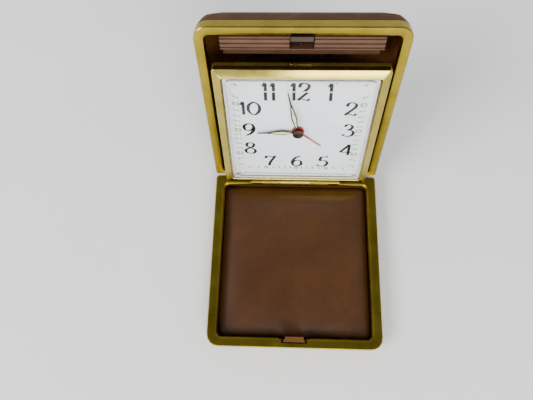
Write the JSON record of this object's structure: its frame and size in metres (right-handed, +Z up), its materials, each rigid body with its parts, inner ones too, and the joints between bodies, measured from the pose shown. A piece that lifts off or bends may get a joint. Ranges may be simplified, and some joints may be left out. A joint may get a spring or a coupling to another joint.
{
  "type": "travel alarm clock",
  "caption": "Folding travel alarm clock: flat leatherette base, leaning domed back shell and a square clock hinged between them.",
  "frame": {"origin": "middle of the base's flat underside", "axes": "+Z up; -Y to the front of the open clock, where the base points; +X to the right seen from the front"},
  "size_m": [0.074, 0.117, 0.079],
  "materials": {
    "gold": "satin gilt, lightly worn at the edges",
    "leather": "embossed brown leatherette",
    "padding": "soft padded leatherette",
    "plastic": "matte mauve-brown",
    "crystal": "clear and polished, bevelled",
    "dial_paint": "matte lilac-white print",
    "lume": "cream-green luminous filling",
    "red_paint": "matte",
    "dark_metal": "dark brown",
    "brass": "satin",
    "steel": "satin",
    "spring_steel": "blued"
  },
  "bodies": {
    "base": {"base_shell": "leather", "base_rim": "gold", "base_liner": "padding", "latch_tongue": "plastic", "case_hinge_pin": "steel", "clock_pivot_rod": "steel"},
    "back": {"back_shell": "leather", "back_rim": "gold", "inner_tray": "plastic", "latch_spring": "spring_steel"},
    "catch": {"latch_catch": "plastic"},
    "carrier": {"carrier_frame": "steel"},
    "clock": {"clock_case": "gold", "bezel": "gold", "crystal": "crystal", "dial": "dial_paint", "front_plate": "brass", "back_plate": "brass", "plate_screw_1": "steel", "plate_screw_2": "steel", "plate_screw_3": "steel", "plate_screw_4": "steel", "rear_cover": "gold", "cover_screw_1": "steel", "cover_screw_2": "steel", "hairspring": "spring_steel"},
    "alarm_shutoff": {"alarm_stop_bar": "gold"},
    "time_setting": {"time_set_knob": "brass", "cannon_pinion": "steel", "minute_hand": "lume", "hub_cap": "dark_metal"},
    "minute_gear": {"minute_wheel": "brass"},
    "hour_gear": {"hour_wheel": "brass", "hour_hand": "lume"},
    "alarm_setting": {"alarm_set_knob": "brass", "alarm_setting_stem": "steel"},
    "alarm_gear": {"alarm_wheel": "brass", "alarm_hand": "red_paint"},
    "escape": {"escape_wheel": "brass"},
    "fourth": {"fourth_wheel": "brass"},
    "third": {"third_wheel": "brass"},
    "centre": {"centre_wheel": "brass"},
    "going_drum": {"going_barrel": "brass", "going_mainspring": "spring_steel"},
    "going_winder": {"going_arbor": "steel", "going_key": "brass"},
    "going_pawl": {"going_click": "steel"},
    "pallet": {"pallet_lever": "steel"},
    "balance": {"balance_wheel": "brass"},
    "regulator": {"regulator_lever": "steel"},
    "strike": {"strike_wheel": "brass"},
    "alarm_drum": {"alarm_barrel": "brass", "alarm_mainspring": "spring_steel"},
    "alarm_winder": {"alarm_arbor": "steel", "alarm_key": "brass"},
    "alarm_pawl": {"alarm_click": "steel"},
    "hammer": {"alarm_hammer": "steel"}
  },
  "joints": [
    {"name": "case_hinge", "type": "hinge", "parent": "base", "child": "back", "pos_m": [0, 0.03835, 0.00636], "axis": [1, 0, 0], "range_deg": [0, 108.4]},
    {"name": "clock_fold", "type": "hinge", "parent": "base", "child": "carrier", "pos_m": [0, 0.03465, 0.00756], "axis": [1, 0, 0], "range_deg": [0, 108.4]},
    {"name": "clock_tilt", "type": "hinge", "parent": "carrier", "child": "clock", "pos_m": [0, 0.03465, 0.00756], "axis": [-1, 0, 0], "range_deg": [-105, 0]},
    {"name": "latch_slide", "type": "slide", "parent": "back", "child": "catch", "axis": [0, -0.3156, -0.9489], "range_m": [0, 0.0013], "stiffness_N_per_m": 150, "deforming": ["latch_spring"]},
    {"name": "alarm_shutoff_press", "type": "slide", "parent": "clock", "child": "alarm_shutoff", "axis": [0, -0.3156, -0.9489], "range_m": [0, 0.0008]},
    {"name": "time_set", "type": "hinge", "parent": "clock", "child": "time_setting", "pos_m": [0, 0.04848, 0.03682], "axis": [0, -0.9489, 0.3156], "continuous": true},
    {"name": "minute_gear_turn", "type": "hinge", "parent": "clock", "child": "minute_gear", "pos_m": [-0.00789, 0.04757, 0.03409], "axis": [0, -0.9489, 0.3156], "continuous": true},
    {"name": "hour_gear_turn", "type": "hinge", "parent": "clock", "child": "hour_gear", "pos_m": [0, 0.04848, 0.03682], "axis": [0, -0.9489, 0.3156], "continuous": true},
    {"name": "alarm_set", "type": "hinge", "parent": "clock", "child": "alarm_setting", "pos_m": [0.0046, 0.0543, 0.05432], "axis": [0, -0.9489, 0.3156], "continuous": true},
    {"name": "alarm_gear_turn", "type": "hinge", "parent": "clock", "child": "alarm_gear", "pos_m": [0, 0.04848, 0.03682], "axis": [0, -0.9489, 0.3156], "continuous": true},
    {"name": "escape_turn", "type": "hinge", "parent": "clock", "child": "escape", "pos_m": [-0.00814, 0.05153, 0.04597], "axis": [0, -0.9489, 0.3156], "continuous": true},
    {"name": "fourth_turn", "type": "hinge", "parent": "clock", "child": "fourth", "pos_m": [-0.00098, 0.05193, 0.04717], "axis": [0, -0.9489, 0.3156], "continuous": true},
    {"name": "third_turn", "type": "hinge", "parent": "clock", "child": "third", "pos_m": [0.00713, 0.05073, 0.04358], "axis": [0, -0.9489, 0.3156], "continuous": true},
    {"name": "centre_turn", "type": "hinge", "parent": "clock", "child": "centre", "pos_m": [0, 0.04848, 0.03682], "axis": [0, -0.9489, 0.3156], "continuous": true},
    {"name": "going_drum_turn", "type": "hinge", "parent": "clock", "child": "going_drum", "pos_m": [-0.01059, 0.04568, 0.02838], "axis": [0, -0.9489, 0.3156], "continuous": true},
    {"name": "going_wind", "type": "hinge", "parent": "clock", "child": "going_winder", "pos_m": [-0.01059, 0.04568, 0.02838], "axis": [0, -0.9489, 0.3156], "continuous": true},
    {"name": "going_click_turn", "type": "hinge", "parent": "clock", "child": "going_pawl", "pos_m": [-0.01309, 0.04375, 0.0226], "axis": [0, -0.9489, 0.3156], "range_deg": [0, 6]},
    {"name": "pallet_rock", "type": "hinge", "parent": "clock", "child": "pallet", "pos_m": [-0.0134, 0.05092, 0.04415], "axis": [0, -0.9489, 0.3156], "range_deg": [-4, 4]},
    {"name": "balance_swing", "type": "hinge", "parent": "clock", "child": "balance", "pos_m": [-0.01511, 0.05294, 0.0502], "axis": [0, -0.9489, 0.3156], "range_deg": [-120, 120]},
    {"name": "regulator_turn", "type": "hinge", "parent": "clock", "child": "regulator", "pos_m": [-0.01511, 0.05294, 0.0502], "axis": [0, -0.9489, 0.3156], "range_deg": [-18, 18]},
    {"name": "strike_turn", "type": "hinge", "parent": "clock", "child": "strike", "pos_m": [0.01552, 0.04813, 0.03576], "axis": [0, -0.9489, 0.3156], "continuous": true},
    {"name": "alarm_drum_turn", "type": "hinge", "parent": "clock", "child": "alarm_drum", "pos_m": [0.013, 0.04517, 0.02685], "axis": [0, -0.9489, 0.3156], "continuous": true},
    {"name": "alarm_wind", "type": "hinge", "parent": "clock", "child": "alarm_winder", "pos_m": [0.013, 0.04517, 0.02685], "axis": [0, -0.9489, 0.3156], "continuous": true},
    {"name": "alarm_click_turn", "type": "hinge", "parent": "clock", "child": "alarm_pawl", "pos_m": [0.0155, 0.04324, 0.02106], "axis": [0, -0.9489, 0.3156], "range_deg": [-6, 0]},
    {"name": "hammer_swing", "type": "hinge", "parent": "clock", "child": "hammer", "pos_m": [0.01847, 0.04989, 0.04104], "axis": [0, -0.9489, 0.3156], "range_deg": [-4, 4]}
  ],
  "couplings": [
    {"joint": "clock_fold", "follows": "case_hinge", "ratio": 1},
    {"joint": "minute_gear_turn", "follows": "time_set", "ratio": -0.33333},
    {"joint": "hour_gear_turn", "follows": "time_set", "ratio": 0.083333},
    {"joint": "alarm_gear_turn", "follows": "alarm_set", "ratio": -0.58333},
    {"joint": "fourth_turn", "follows": "escape_turn", "ratio": -0.16667},
    {"joint": "third_turn", "follows": "escape_turn", "ratio": 0.027778},
    {"joint": "centre_turn", "follows": "escape_turn", "ratio": -0.0046296},
    {"joint": "going_drum_turn", "follows": "escape_turn", "ratio": 0.00092593},
    {"joint": "alarm_drum_turn", "follows": "strike_turn", "ratio": -0.2}
  ]
}
